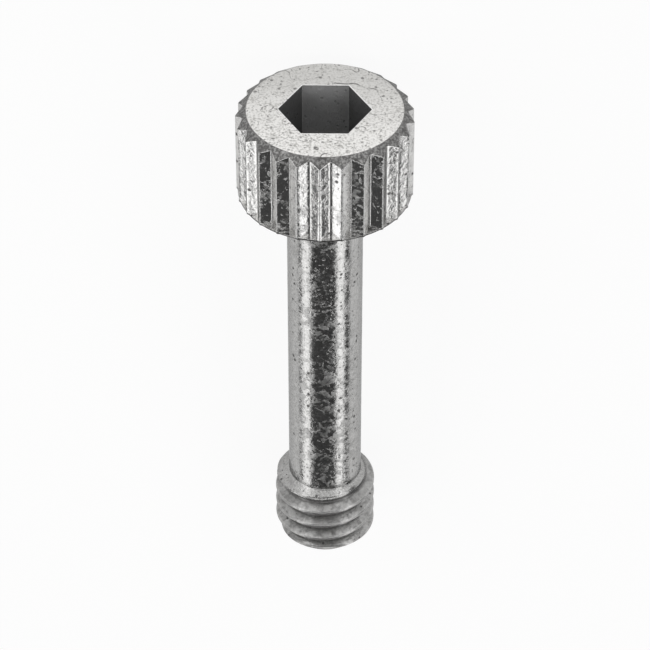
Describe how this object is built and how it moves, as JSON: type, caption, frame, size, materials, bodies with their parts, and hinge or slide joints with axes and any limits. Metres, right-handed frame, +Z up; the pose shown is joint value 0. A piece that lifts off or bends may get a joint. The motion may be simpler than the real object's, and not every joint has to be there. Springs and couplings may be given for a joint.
{
  "type": "captive panel screw",
  "caption": "Captive panel screw with a straight-knurled cylinder head, a hex socket, a thin plain shank and a short metric thread at its tip.",
  "frame": {"origin": "centre of the footprint on the surface the screw lies on, under the middle of its length", "axes": "+Z up from the surface; +Y along the screw from its tip to its head, seen from above; the screw's own axis rises 4.4 degrees towards the head, because the head is thicker than the thread"},
  "size_m": [0.0066, 0.0216, 0.0069],
  "materials": {
    "bright_steel": "bright turned steel with fine pits and scuffs"
  },
  "bodies": {
    "root": {"captive_screw": "bright_steel"}
  },
  "joints": []
}
